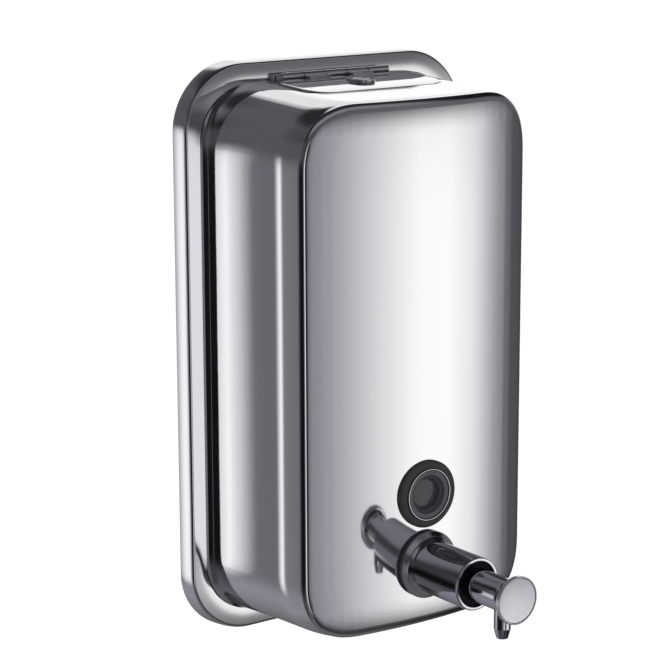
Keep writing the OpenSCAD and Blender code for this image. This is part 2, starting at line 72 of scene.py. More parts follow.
class Value:
    """A number that varies over a surface; Python's operators add Math nodes."""

    def __init__(self, graph, socket):
        self.graph = graph
        self.socket = socket

    def maths(self, operation, first, second):
        inputs = {0: first, 1: second}
        return self.graph.node("ShaderNodeMath", {"operation": operation}, inputs)

    def __add__(self, other):
        return self.maths("ADD", self, other)

    def __mul__(self, other):
        return self.maths("MULTIPLY", self, other)

    def __truediv__(self, other):
        return self.maths("DIVIDE", self, other)

    __radd__ = __add__
    __rmul__ = __mul__

    def clipped(self, low, high):
        """0 below low, 1 above high, and smooth between."""
        settings = {"interpolation_type": "SMOOTHSTEP"}
        return self.graph.node(
            "ShaderNodeMapRange", settings, {"Value": self, "From Min": low, "From Max": high}
        )


class Graph:
    """A node tree that is built by naming nodes, their settings and inputs."""

    def __init__(self, tree):
        self.tree = tree

    def node(self, kind, settings=None, inputs=None, output=0):
        made = self.tree.nodes.new(kind)
        for name, setting in (settings or {}).items():
            if name == "stops":
                ramp = made.color_ramp
                while len(ramp.elements) < len(setting):
                    ramp.elements.new(0.5)
                for element, (place, colour) in zip(ramp.elements, setting):
                    element.position = place
                    element.color = (*colour, 1)
            else:
                setattr(made, name, setting)
        for name, value in (inputs or {}).items():
            self.feed(made.inputs[name], value)
        return Value(self, made.outputs[output])

    def feed(self, socket, value):
        if isinstance(value, Value):
            self.tree.links.new(value.socket, socket)
        else:
            socket.default_value = value

    def mix(self, share, first, second):
        """Colours first to second by share."""
        inputs = {0: share, 6: first, 7: second}
        return self.node("ShaderNodeMix", {"data_type": "RGBA"}, inputs, output=2)


class Finish(Graph):
    """A material: fixed sockets are set when it is made, varying ones are fed."""

    def __init__(self, name, **fixed):
        self.material = bpy.data.materials.new(name)
        self.material.use_nodes = True
        super().__init__(self.material.node_tree)
        self.shader = self.tree.nodes["Principled BSDF"]
        for socket, value in fixed.items():
            self.shader.inputs[socket.replace("_", " ")].default_value = value
        self.place = self.node("ShaderNodeTexCoord", output="Object")

    def stretched(self, scale):
        """Object place, stretched for a directional grain."""
        inputs = {"Vector": self.place, "Scale": scale}
        return self.node("ShaderNodeMapping", {"vector_type": "TEXTURE"}, inputs)

    def noise(self, scale, detail=4, vector=None):
        inputs = {"Vector": vector or self.place, "Scale": scale, "Detail": detail}
        return self.node("ShaderNodeTexNoise", None, inputs)

    def wear(self, **fed):
        """Feeds varying sockets by name."""
        for name, value in fed.items():
            self.feed(self.shader.inputs[name.replace("_", " ")], value)

    def bump(self, height, strength, distance):
        inputs = {"Height": height, "Strength": strength, "Distance": distance}
        self.wear(Normal=self.node("ShaderNodeBump", None, inputs))


def satin_steel(name, grain, shine=0.0):
    """Sheet with a one-way brushed grain; grain is the stretch on each axis and
    shine lifts it towards a polish."""
    steel = Finish(name, Metallic=1)
    lines = steel.noise(900, 6, steel.stretched(grain))
    cloud = steel.noise(18, 3)
    dark, light = 0.42 + shine * 0.9, 0.62 + shine * 0.7
    tone = steel.mix(lines, (dark, dark, dark + 0.02, 1), (light, light, light + 0.02, 1))
    steel.wear(
        Base_Color=steel.mix(cloud * 0.5, tone, (0.50 + shine, 0.49 + shine, 0.48 + shine, 1)),
        Roughness=lines * 0.16 + cloud * 0.06 + (0.26 - shine * 0.6),
    )
    steel.bump(lines, 0.25, 0.0001)
    return steel.material


def dress(material, *names):
    """Gives CAD nodes their finish."""
    for name in names:
        slots = nodes[name].data.materials
        if slots:
            slots[0] = material
        else:
            slots.append(material)


dress(satin_steel("satin plate", (1, 1, 18)), "wall_plate", "hanger_straps")
dress(satin_steel("satin panel", (1, 1, 22)), "rear_panel")


# ---------------------------------------------------------------------------
# Rear rim
# Mirror-polished stainless, pressed from one sheet: a skirt against the wall,
# a rounded outer edge and a flat ring that the tank stands on.

side_flare, end_flare = 7.5 * mm, 3.1 * mm
rim_low, rim_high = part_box("rear_rim")
shell_low, shell_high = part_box("front_shell")
ring_y = rim_low.y
shell_w = shell_high.x - side_flare
shell_h = shell_high.z - end_flare
face_y = shell_low.y
bow = 6.7 * mm
edge_y = face_y + bow


def mirror_steel(name):
    """Buffed stainless: faint buffing lines, soft smears and tiny specks."""
    steel = Finish(name, Metallic=1)
    buff = steel.noise(260, 5, steel.stretched((1, 1, 9)))
    smear = steel.noise(9, 3)
    specks = steel.noise(1400, 2).clipped(0.70, 0.80)
    tone = steel.mix(smear, (0.90, 0.90, 0.92, 1), (0.94, 0.935, 0.93, 1))
    steel.wear(
        Base_Color=steel.mix(specks * 0.25, tone, (0.70, 0.69, 0.68, 1)),
        Roughness=0.035 + buff * 0.03 + smear * 0.02 + specks * 0.08,
    )
    steel.bump(buff + smear * 2, 0.035, 0.0002)
    return steel.material


def outline_loop(mesh, segments):
    """A closed loop of edges; each vertex keeps its place on the unit circle."""
    made = bmesh.ops.create_circle(mesh, cap_ends=False, segments=segments, radius=1)
    turn = Matrix.Rotation(math.pi / 2, 4, "X") @ Matrix.Rotation(math.pi / segments, 4, "Z")
    bmesh.ops.transform(mesh, matrix=turn, verts=made["verts"])
    return made["verts"]


def set_outline(verts, units, half_w, half_h, corner, y, arch=0, soft=1):
    """Puts a loop on a rounded rectangle at depth y; arch crowns its ends, and
    soft below 1 eases the corners into the straights."""
    for vert, (ux, uz) in zip(verts, units):
        x = math.copysign(half_w - corner + corner * abs(ux) ** soft, ux)
        z = math.copysign(half_h - corner + corner * abs(uz) ** soft, uz)
        rise = arch * (x / half_w) ** 2 * abs(uz)
        vert.co = (x, y, z - math.copysign(rise, uz))


def drawn_sheet(mesh, stations, segments=96):
    """Draws a loop through stations of outline sizes; returns the last edges."""
    verts = outline_loop(mesh, segments)
    units = [(vert.co.x, vert.co.z) for vert in verts]
    set_outline(verts, units, *stations[0])
    edges = list(mesh.edges)
    for station in stations[1:]:
        grown = bmesh.ops.extrude_edge_only(mesh, edges=edges)["geom"]
        edges = [part for part in grown if isinstance(part, bmesh.types.BMEdge)]
        new_verts = {vert for edge in edges for vert in edge.verts}
        verts = [
            next(e.other_vert(v) for e in v.link_edges if e.other_vert(v) in new_verts)
            for v in verts
        ]
        set_outline(verts, units, *station)
    return edges


def cut_across(mesh, axis, places):
    """Cuts every face along planes square to an axis, so that rows line up."""
    for place in places:
        normal = Vector((0, 0, 0))
        normal[axis] = 1
        bmesh.ops.bisect_plane(
            mesh,
            geom=mesh.verts[:] + mesh.edges[:] + mesh.faces[:],
            plane_co=normal * place,
            plane_no=normal,
            dist=1e-6,
        )


def piece(name, mesh, material, body, slot, *replaced):
    """Turns a finished bmesh into an object that rides on its body."""
    data = bpy.data.meshes.new(name)
    mesh.to_mesh(data)
    mesh.free()
    made = bpy.data.objects.new(name, data)
    bpy.context.scene.collection.objects.link(made)
    data.materials.append(material)
    data.polygons.foreach_set("use_smooth", [True] * len(data.polygons))
    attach(made, body)
    if replaced:
        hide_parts(*replaced)
    return made


def settle(made):
    """Applies an object's modifiers, so that its mesh is final."""
    graph = bpy.context.evaluated_depsgraph_get()
    data = bpy.data.meshes.new_from_object(made.evaluated_get(graph))
    made.modifiers.clear()
    made.data = data


def walled(made, thickness):
    """Smooths a drawn sheet and gives it a wall on its inner side."""
    smooth = made.modifiers.new("smooth", "SUBSURF")
    smooth.levels = smooth.render_levels = 1
    wall = made.modifiers.new("wall", "SOLIDIFY")
    wall.thickness = thickness
    wall.offset = -1
    settle(made)


def sharpen(made, degrees):
    """Marks the edges that turn by more than an angle as sharp."""
    mesh = bmesh.new()
    mesh.from_mesh(made.data)
    for edge in mesh.edges:
        edge.smooth = len(edge.link_faces) != 2 or edge.calc_face_angle() < math.radians(degrees)
    mesh.to_mesh(made.data)
    mesh.free()


def rim_stations():
    """Rows of (side inset, end inset, distance from the wall)."""
    rows = [(0, 0, 0), (0.13, 0.1, 1.8), (0.35, 0.3, 3.6), (0.6, 0.55, 5.4), (0.75, 0.72, 6.4)]
    bend, first_turn, last_turn, steps = 1.0, 10, 84, 6
    for step in range(steps + 1):
        turn = math.radians(first_turn + step * (last_turn - first_turn) / steps)
        reach = bend * (math.cos(math.radians(first_turn)) - math.cos(turn))
        rows.append((0.86 + reach, 0.85 + reach, 6.72 + bend * math.sin(turn)))
    side, end, out = rows[-1]
    ring = (rim_high.x - shell_high.x) / mm - side, (rim_high.z - shell_high.z) / mm - end
    for share, rise in ((0.15, 0.1), (0.4, 0.27), (0.6, 0.38), (0.75, 0.42), (0.9, 0.43), (1.05, 0.43)):
        rows.append((side + share * ring[0], end + share * ring[1], out + rise))
    return [
        (rim_high.x - side * mm, rim_high.z - end * mm, (26 - 0.8 * side) * mm, -out * mm, 0.9 * mm)
        for side, end, out in rows
    ]


rim_mesh = bmesh.new()
drawn_sheet(rim_mesh, rim_stations())
cut_across(rim_mesh, 2, [row * 8 * mm for row in range(-10, 11)])
cut_across(rim_mesh, 0, [column * 6 * mm for column in range(-6, 7)])
bmesh.ops.recalc_face_normals(rim_mesh, faces=rim_mesh.faces)
rim = piece("rim", rim_mesh, mirror_steel("mirror rim"), "dispenser", "polished_steel", "rear_rim")
walled(rim, 1 * mm)
sharpen(rim, 50)


# ---------------------------------------------------------------------------
# Tank shell
# One deep-drawn stainless box, buffed to a mirror: sides that flare into the
# ring, soft shoulders, a crisp front edge and a bowed face. Holes are pierced
# for the filler lid, the sight window and the pump.

window_z = sum(corner.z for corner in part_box("window_seal")) / 2
pump_z = sum(corner.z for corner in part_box("pump_barrel")) / 2
top_slope = (shell_high.z - shell_h) / (ring_y - edge_y)
top_tilt = math.atan(top_slope)


def shell_stations():
    """Outline sizes from behind the ring to the flat of the face."""
    rows = []
    # (half-width, distance from the wall) down one side, in millimetres.
    side_line = [
        (59.0, 8.05), (58.2, 8.5), (57.5, 9.1), (57.0, 9.9), (56.65, 11.1), (56.35, 12.7),
        (56.0, 14.9), (55.6, 17.6), (55.15, 21.0), (54.78, 25.0), (54.48, 29.0), (54.25, 33.5),
        (54.1, 38.0), (54.03, 42.0), (54.0, 46.0), (53.99, 49.0), (53.92, 51.0), (53.75, 52.8),
        (53.45, 54.4), (53.0, 56.2), (52.52, 58.0), (52.1, 59.5), (51.8, 60.5),
    ]
    for half, out in side_line:
        y = -out * mm
        shoulder = max(0, out - 52) / 8
        half_w = half * mm
        half_h = shell_high.z - top_slope * (ring_y - y) - 0.3 * mm * shoulder**2
        rows.append((half_w, half_h, 24 * mm + 0.6 * (half_w - shell_w), y, 0, 0.8))
    crest, first_turn, last_turn, steps = 1.6 * mm, 14, 78, 6
    side, top = 51.6 * mm, shell_h - 0.15 * mm
    for step in range(steps + 1):
        turn = math.radians(first_turn + step * (last_turn - first_turn) / steps)
        inset = crest * (math.cos(math.radians(first_turn)) - math.cos(turn))
        out = crest * (1 - math.sin(turn))
        rows.append((side - inset, top - 1.7 * inset, 24 * mm - inset, edge_y + out, 0, 0.8))
    for inset in (2.4, 3.6, 5.4, 8, 11.5):
        rows.append((side - inset * mm, top - (inset + 0.9) * mm, (24 - inset) * mm, edge_y, 0, 0.8))
    return rows


def bow_face(mesh):
    """Bows the face about a vertical axis and sets back its top and bottom."""
    radius = (shell_w**2 + bow**2) / (2 * bow)
    for vert in mesh.verts:
        x, y, z = vert.co
        forward = ring_y - y
        share = min(1, max(0, (forward - 16 * mm) / (30 * mm)))
        share = share * share * (3 - 2 * share)
        crown = math.sqrt(radius**2 - x**2) - (radius - bow)
        band = max(0, 1 - (shell_h - abs(z)) / (11 * mm)) if forward > 50 * mm else 0
        vert.co.y -= crown * share - 0.75 * mm * band**2


shell_mesh = bmesh.new()
last_edges = drawn_sheet(shell_mesh, shell_stations())
bmesh.ops.contextual_create(shell_mesh, geom=last_edges)
cut_across(shell_mesh, 0, [column * 4 * mm for column in range(-12, 13)])
cut_across(shell_mesh, 2, [row * 8 * mm for row in range(-12, 13)])
bow_face(shell_mesh)
bmesh.ops.recalc_face_normals(shell_mesh, faces=shell_mesh.faces)
shell = piece(
    "tank_shell", shell_mesh, mirror_steel("mirror shell"), "dispenser", "polished_steel", "front_shell"
)
walled(shell, 1.2 * mm)
sharpen(shell, 50)


# ---------------------------------------------------------------------------
# Filler seat, lid, hinge and lock
# The seat is a welded satin frame with a rubber ring; the lid is a polished
# plate on a five-knuckle hinge, held by a small cam lock with a key slot.


def rubber(name, tone=0.018):
    """Moulded rubber: matt, finely pitted, with a little bloom."""
    black = Finish(name)
    pits = black.noise(1600, 4)
    bloom = black.noise(60, 4)
    black.wear(
        Base_Color=black.mix(bloom, (tone, tone, tone, 1), (tone * 2.2, tone * 2.2, tone * 2.3, 1)),
        Roughness=0.42 + bloom * 0.2 + pits * 0.1,
    )
    black.bump(pits, 0.4, 0.0002)
    return black.material


def turned_metal(name, axis, centre, tone=(0.72, 0.72, 0.75)):
    """Lathe-turned: fine rings about an axis through a centre."""
    metal = Finish(name, Metallic=1)
    flat = [1, 1, 1]
    flat[axis] = 0
    offset = metal.node("ShaderNodeVectorMath", {"operation": "SUBTRACT"}, {0: metal.place, 1: centre})
    across = metal.node("ShaderNodeVectorMath", {"operation": "MULTIPLY"}, {0: offset, 1: flat})
    radius = metal.node("ShaderNodeVectorMath", {"operation": "LENGTH"}, {0: across}, output="Value")
    rings = metal.node("ShaderNodeTexNoise", {"noise_dimensions": "1D"}, {"W": radius, "Scale": 4200})
    cloud = metal.noise(120, 4)
    light = (*tone, 1)
    dark = (*(channel * 0.86 for channel in tone), 1)
    metal.wear(
        Base_Color=metal.mix(rings, dark, light),
        Roughness=0.2 + rings * 0.14 + cloud * 0.08,
    )
    metal.bump(rings, 0.2, 0.0001)
    return metal.material


def chrome(name):
    """Bright chrome plate over turned brass, a little cool."""
    plate = Finish(name, Metallic=1)
    waves = plate.noise(140, 3)
    haze = plate.noise(420, 5)
    plate.wear(
        Base_Color=plate.mix(waves, (0.74, 0.74, 0.78, 1), (0.80, 0.80, 0.83, 1)),
        Roughness=0.03 + haze * 0.04,
    )
    plate.bump(waves, 0.03, 0.0002)
    return plate.material


def brass(name):
    """Turned brass with darker tarnish in patches."""
    yellow = Finish(name, Metallic=1)
    tarnish = yellow.noise(220, 5).clipped(0.45, 0.7)
    yellow.wear(
        Base_Color=yellow.mix(tarnish, (0.72, 0.53, 0.24, 1), (0.42, 0.29, 0.13, 1)),
        Roughness=0.24 + tarnish * 0.25,
    )
    return yellow.material


lock_low, lock_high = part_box("lock_plug")
lock_centre = tuple((lock_low + lock_high) / 2)
dress(satin_steel("satin frame", (14, 1, 1)), "filler_frame", "lock_cam")
dress(satin_steel("satin hinge", (10, 1, 1), 0.3), "hinge_leaf", "lid_leaf", "hinge_pin")
dress(rubber("lid rubber"), "lid_gasket")
dress(chrome("lock chrome"), "lock_housing")
dress(brass("lock brass"), "lock_nut")
dress(turned_metal("lock core", 2, lock_centre), "lock_plug", "cam_screw")


# ---------------------------------------------------------------------------
# Holes in the shell
# The filler mouth is pierced to match the lid; the pump and window holes are
# plain rounds behind their gaskets.


def punch(target, name, mesh):
    """Cuts a solid out of a piece and drops the solid."""
    data = bpy.data.meshes.new(name)
    mesh.to_mesh(data)
    mesh.free()
    tool = bpy.data.objects.new(name, data)
    bpy.context.scene.collection.objects.link(tool)
    cut = target.modifiers.new(name, "BOOLEAN")
    cut.operation = "DIFFERENCE"
    cut.solver = "EXACT"
    cut.object = tool
    settle(target)
    bpy.data.objects.remove(tool)


def round_punch(z, radius):
    mesh = bmesh.new()
    turn = Matrix.Translation((0, face_y, z)) @ Matrix.Rotation(math.pi / 2, 4, "X")
    bmesh.ops.create_cone(
        mesh, cap_ends=True, segments=64, radius1=radius, radius2=radius, depth=24 * mm, matrix=turn
    )
    return mesh


def mouth_punch():
    """A slab a little larger than the lid, square to the sloping top."""
    low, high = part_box("lid")
    middle = (low + high) / 2
    half_w = high.x + 0.3 * mm
    half_d = (high.y - low.y) / 2 + 0.3 * mm
    mesh = bmesh.new()
    verts = outline_loop(mesh, 48)
    units = [(vert.co.x, vert.co.z) for vert in verts]
    set_outline(verts, units, half_w, half_d, 9.3 * mm, 0)
    bottom = bmesh.ops.contextual_create(mesh, geom=mesh.edges[:])["faces"]
    slab = bmesh.ops.extrude_face_region(mesh, geom=bottom)["geom"]
    tops = [part for part in slab if isinstance(part, bmesh.types.BMVert)]
    bmesh.ops.translate(mesh, verts=tops, vec=(0, 12 * mm, 0))
    bmesh.ops.translate(mesh, verts=mesh.verts, vec=(0, -6 * mm, 0))
    place = Matrix.Translation(middle) @ Matrix.Rotation(top_tilt - math.pi / 2, 4, "X")
    bmesh.ops.transform(mesh, matrix=place, verts=mesh.verts)
    bmesh.ops.recalc_face_normals(mesh, faces=mesh.faces)
    return mesh


def lid_piece():
    """A plate with rolled edges whose front half curves softly down."""
    low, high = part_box("lid")
    half_w, half_d = high.x, (high.y - low.y) / 2
    rows = [(0, 0.3), (0, -0.2), (0.08, -0.4), (0.3, -0.55), (0.7, -0.6), (2, -0.6), (5, -0.6)]
    mesh = bmesh.new()
    stations = [
        (half_w - inset * mm, half_d - inset * mm, (9 - inset) * mm, y * mm) for inset, y in rows
    ]
    edges = drawn_sheet(mesh, stations)
    bmesh.ops.contextual_create(mesh, geom=edges)
    cut_across(mesh, 2, [row * 2.2 * mm for row in range(-5, 6)])
    cut_across(mesh, 0, [column * 5 * mm for column in range(-5, 6)])
    for vert in mesh.verts:
        vert.co.y += 0.6 * mm * (max(0, -vert.co.z - 1 * mm) / (13.5 * mm)) ** 2
    place = Matrix.Translation((low + high) / 2) @ Matrix.Rotation(top_tilt - math.pi / 2, 4, "X")
    bmesh.ops.transform(mesh, matrix=place, verts=mesh.verts)
    bmesh.ops.recalc_face_normals(mesh, faces=mesh.faces)
    made = piece("filler_lid", mesh, mirror_steel("mirror lid"), "lid", "polished_steel", "lid")
    walled(made, 0.8 * mm)
    shaft = bmesh.new()
    turn = Matrix.Translation(lock_centre) @ Matrix.Rotation(top_tilt, 4, "X")
    bmesh.ops.create_cone(
        shaft, cap_ends=True, segments=48, radius1=4.6 * mm, radius2=4.6 * mm, depth=16 * mm, matrix=turn
    )
    punch(made, "lock_hole", shaft)
    sharpen(made, 50)


lid_piece()
punch(shell, "mouth", mouth_punch())
punch(shell, "window_hole", round_punch(window_z, 9.4 * mm))
punch(shell, "pump_hole", round_punch(pump_z, 9.1 * mm))
sharpen(shell, 50)


# ---------------------------------------------------------------------------
# Sight window
# A black rubber ring against the face, a thin chromed ring in it, and a
# smoked clear plug with a dished front that shows the soap level.


def turned(name, axis_z, outline, material, body, slot, replaced, steps=96):
    """Spins an outline of (distance out of the face, radius, fillet) points
    about a pump or window axis; each corner is rounded by its fillet."""
    mesh = bmesh.new()
    count = len(outline)
    points = []
    for index, (out, radius, fillet) in enumerate(outline):
        here = Vector((out, radius))
        before = Vector(outline[(index - 1) % count][:2]) - here
        after = Vector(outline[(index + 1) % count][:2]) - here
        if fillet == 0 or before.length == 0 or after.length == 0:
            points.append(here)
            continue
        half = before.angle(after) / 2
        reach = fillet / math.tan(half)
        start = here + before.normalized() * reach
        end = here + after.normalized() * reach
        centre = here + (before.normalized() + after.normalized()).normalized() * (fillet / math.sin(half))
        sweep = (start - centre).angle_signed(end - centre)
        parts = max(3, math.ceil(abs(sweep) / math.radians(12)))
        for part in range(parts + 1):
            turn = -sweep * part / parts
            arm = start - centre
            points.append(
                centre
                + Vector(
                    (
                        arm.x * math.cos(turn) - arm.y * math.sin(turn),
                        arm.x * math.sin(turn) + arm.y * math.cos(turn),
                    )
                )
            )
    verts = [mesh.verts.new((0, face_y - point.x * mm, axis_z + point.y * mm)) for point in points]
    closed = all(point.y > 0 for point in points)
    pairs = list(zip(verts, verts[1:])) + ([(verts[-1], verts[0])] if closed else [])
    edges = [mesh.edges.new(pair) for pair in pairs]
    bmesh.ops.spin(
        mesh,
        geom=verts + edges,
        cent=(0, face_y, axis_z),
        axis=(0, 1, 0),
        angle=2 * math.pi,
        steps=steps,
        use_merge=True,
        use_duplicate=False,
    )
    bmesh.ops.remove_doubles(mesh, verts=mesh.verts, dist=1e-6)
    bmesh.ops.recalc_face_normals(mesh, faces=mesh.faces)
    made = piece(name, mesh, material, body, slot, *replaced)
    weights = made.modifiers.new("weights", "WEIGHTED_NORMAL")
    weights.keep_sharp = True
    return made


def smoked_plastic(name):
    """Smoked clear plastic, near black, with soft scratches in its gloss."""
    smoke = Finish(name, IOR=1.49)
    depth = smoke.noise(90, 3)
    scratches = smoke.noise(500, 6, smoke.stretched((1, 1, 6)))
    smoke.wear(
        Base_Color=smoke.mix(depth, (0.022, 0.023, 0.027, 1), (0.06, 0.062, 0.068, 1)),
        Roughness=0.08 + scratches * 0.14,
    )
    smoke.bump(scratches, 0.06, 0.0001)
    return smoke.material


seal_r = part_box("window_seal")[1].x / mm
lens_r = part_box("window_lens")[1].x / mm
window_ring_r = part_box("window_ring")[1].x / mm
turned(
    "window_rubber",
    window_z,
    [
        (-1.0, seal_r, 0), (0.9, seal_r, 0.5), (1.6, seal_r - 1.0, 0.5),
        (1.5, window_ring_r + 0.05, 0.2), (-1.0, window_ring_r + 0.05, 0),
    ],
    rubber("window rubber"),
    "dispenser",
    "black_rubber",
    ["window_seal"],
)
turned(
    "window_bezel",
    window_z,
    [(0, window_ring_r, 0), (2.05, window_ring_r, 0.28), (2.05, lens_r + 0.05, 0.28), (0, lens_r + 0.05, 0)],
    chrome("bezel chrome"),
    "dispenser",
    "chrome",
    ["window_ring"],
)
turned(
    "window_plug",
    window_z,
    [
        (-1.8, 0, 0), (-1.8, 5.6, 0.8), (0.3, 6.1, 0.6), (0.5, 6.9, 0.4), (1.5, 7.4, 0.3),
        (1.6, lens_r, 0.2), (-1.2, lens_r, 0.2), (-1.2, lens_r - 0.7, 0.1), (-9, lens_r - 0.7, 0.3),
        (-9, 0, 0),
    ],
    smoked_plastic("smoked plug"),
    "dispenser",
    "smoked_lens",
    ["window_lens"],
)


def moulded(name, tone, gloss):
    """Injection-moulded plastic with faint flow marks."""
    plastic = Finish(name)
    flow = plastic.noise(70, 4, plastic.stretched((1, 3, 1)))
    fine = plastic.noise(900, 3)
    darker = tuple(channel * 0.9 for channel in tone)
    plastic.wear(
        Base_Color=plastic.mix(flow, (*tone, 1), (*darker, 1)),
        Roughness=gloss + fine * 0.12,
    )
    plastic.bump(fine, 0.12, 0.0001)
    return plastic.material


black_nylon = moulded("black nylon", (0.03, 0.03, 0.032), 0.4)
dress(black_nylon, "window_nut", "pump_nut")
dress(rubber("washer rubber", 0.03), "window_washer", "pump_washer")


# ---------------------------------------------------------------------------
# Pump body
# A rubber gasket, a bevelled ring and a chromed barrel clamp through the face;
# a nylon bush in the barrel's mouth guides the plunger.

barrel_end = (face_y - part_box("pump_barrel")[0].y) / mm
barrel_r = 10
flange_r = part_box("pump_flange")[1].x / mm
gasket_s, root_s = ((face_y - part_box("pump_flange")[side].y) / mm for side in (1, 0))

turned(
    "pump_rubber",
    pump_z,
    [(-0.9, flange_r - 0.5, 0), (gasket_s, flange_r - 0.5, 0.3), (gasket_s, 9.2, 0), (-0.9, 9.2, 0)],
    rubber("pump rubber"),
    "dispenser",
    "black_rubber",
    ["pump_gasket"],
)
turned(
    "pump_ring",
    pump_z,
    [
        (gasket_s, 9.2, 0), (gasket_s, flange_r, 0.25), (gasket_s + 0.7, flange_r, 0.25),
        (root_s, flange_r - 1.7, 0.4), (root_s, 9.2, 0),
    ],
    chrome("ring chrome"),
    "dispenser",
    "chrome",
    ["pump_flange"],
)
turned(
    "barrel",
    pump_z,
    [
        (root_s, 8.9, 0), (root_s, barrel_r + 1.3, 0.12), (root_s + 0.3, barrel_r + 1.1, 0.1),
        (root_s + 1.3, barrel_r, 0.9), (barrel_end, barrel_r, 0.45), (barrel_end, 8.7, 0.25),
        (barrel_end - 1.2, 8.4, 0.3), (6, 8.4, 0), (6, 6.9, 0), (3.2, 6.9, 0), (3.2, 8.1, 0),
        (-14, 8.1, 0), (-14, 8.9, 0.2),
    ],
    chrome("barrel chrome"),
    "dispenser",
    "chrome",
    ["pump_barrel"],
    steps=128,
)
white_acetal = moulded("white acetal", (0.82, 0.82, 0.80), 0.3)
dress(moulded("dark bush", (0.05, 0.05, 0.055), 0.35), "guide_bush")
dress(white_acetal, "pump_cylinder", "inlet_elbow", "intake_tube")
dress(turned_metal("valve ball", 1, (0, face_y, pump_z)), "inlet_ball", "outlet_ball")


# ---------------------------------------------------------------------------
# Plunger
# A chromed sleeve that slides in the bush, flaring into a turned button, with
# a short tapered spout under it. Piston, tube and spring work inside.

head_back, head_front = ((face_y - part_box("plunger_head")[side].y) / mm for side in (1, 0))
button_front = (face_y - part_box("button_cap")[0].y) / mm
button_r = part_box("button_cap")[1].x / mm
head_r = 6.2
spout_low, spout_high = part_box("spout")
spout_y = (spout_low.y + spout_high.y) / 2


def sleeve_outline():
    """Sleeve from its hidden end to the rim of the button."""
    flare = button_r - 0.15 - head_r
    reach, bore, steps = 4.8, 4.6, 12
    outline = [(head_back, bore, 0), (head_back, head_r, 0.3)]
    for step in range(steps + 1):
        turn = step / steps * math.pi / 2
        radius = head_r + flare * (1 - math.cos(turn)) ** 1.15
        outline.append((head_front - reach * (1 - math.sin(turn)), radius, 0))
    return outline + [(head_front, bore, 0)]


turned(
    "plunger_sleeve", pump_z, sleeve_outline(), chrome("sleeve chrome"), "plunger", "chrome", ["plunger_head"]
)
turned(
    "button",
    pump_z,
    [
        (head_front, 0, 0), (head_front, button_r, 0.3), (button_front, button_r, 0.3),
        (button_front, button_r - 0.55, 0.2), (button_front - 0.3, button_r - 0.75, 0.15),
        (button_front - 1.0, 0, 0),
    ],
    turned_metal("button face", 1, (0, face_y, pump_z), (0.90, 0.90, 0.94)),
    "plunger",
    "turned_metal",
    ["button_cap"],
    steps=128,
)


def spout_piece():
    """A tube with a tapered tip, spun about a vertical axis."""
    top, tip = spout_high.z, spout_low.z
    outer = spout_high.x
    mesh = bmesh.new()
    rows = [
        (outer, top), (outer, tip + 3.9 * mm), (outer - 0.05 * mm, tip + 3.5 * mm),
        (outer - 0.85 * mm, tip + 0.25 * mm), (outer - 1.0 * mm, tip), (outer - 1.35 * mm, tip),
        (1.5 * mm, tip + 0.3 * mm), (1.5 * mm, top),
    ]
    verts = [mesh.verts.new((radius, spout_y, z)) for radius, z in rows]
    edges = [mesh.edges.new(pair) for pair in zip(verts, verts[1:] + verts[:1])]
    bmesh.ops.spin(
        mesh, geom=verts + edges, cent=(0, spout_y, 0), axis=(0, 0, 1), angle=2 * math.pi,
        steps=64, use_merge=True, use_duplicate=False,
    )
    bmesh.ops.remove_doubles(mesh, verts=mesh.verts, dist=1e-6)
    bmesh.ops.recalc_face_normals(mesh, faces=mesh.faces)
    made = piece("spout_tube", mesh, chrome("spout chrome"), "plunger", "chrome", "spout")
    bevel = made.modifiers.new("edge", "BEVEL")
    bevel.width = 0.12 * mm
    bevel.segments = 3
    bevel.limit_method = "ANGLE"
    weights = made.modifiers.new("weights", "WEIGHTED_NORMAL")
    weights.keep_sharp = True


spout_piece()


def spring_wire(name):
    """Drawn spring wire: darker, with marks along the wire."""
    wire = Finish(name, Metallic=1)
    marks = wire.noise(700, 4)
    wire.wear(
        Base_Color=wire.mix(marks, (0.30, 0.30, 0.32, 1), (0.52, 0.52, 0.54, 1)),
        Roughness=0.28 + marks * 0.15,
    )
    return wire.material


dress(white_acetal, "piston")
dress(rubber("seal rubber"), "piston_seal")
dress(turned_metal("plunger tube", 1, (0, face_y, pump_z)), "plunger_tube")


def spring_piece():
    """A coil of round wire in the return spring's place."""
    low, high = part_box("return_spring")
    wire = 0.55 * mm
    turns, steps = 7, 36
    length = high.y - low.y
    pitch = (length - 2 * wire) / turns
    coil_r = high.x - wire
    mesh = bmesh.new()
    start = Matrix.Translation((coil_r, low.y + wire, pump_z))
    section = bmesh.ops.create_circle(mesh, cap_ends=True, segments=10, radius=wire, matrix=start)
    faces = mesh.faces[:]
    bmesh.ops.spin(
        mesh,
        geom=section["verts"] + mesh.edges[:] + faces,
        cent=(0, 0, pump_z),
        axis=(0, 1, 0),
        dvec=(0, pitch / steps, 0),
        angle=2 * math.pi * turns,
        steps=turns * steps,
        use_duplicate=False,
    )
    bmesh.ops.recalc_face_normals(mesh, faces=mesh.faces)
    made = piece(
        "coil_spring", mesh, spring_wire("spring wire"), "dispenser", "spring_steel", "return_spring"
    )
    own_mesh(made)


spring_piece()


# ---------------------------------------------------------------------------
# Studio
# Soft white light from all round, on a white backdrop. Only mirrored rays see
# the rings below: bright, grey and dark bands at four heights that shape the
# reflections in the steel, under a dark ceiling.


def grey(level, tint=0.0):
    """A screen grey from 0 to 255 as light, tinted cool when tint is above 0."""
    light = ((level / 255 + 0.055) / 1.055) ** 2.4 / 0.91
    return (light * (1 - tint * 0.8), light * (1 - tint * 0.8), light * (1 + tint * 1.9))


def around(*stops):
    """Ramp stops from (degrees round the object, level, tint); 0 is the front
    and degrees run towards the right."""
    return [((degrees + 180) / 360, grey(level, tint)) for degrees, level, tint in stops]


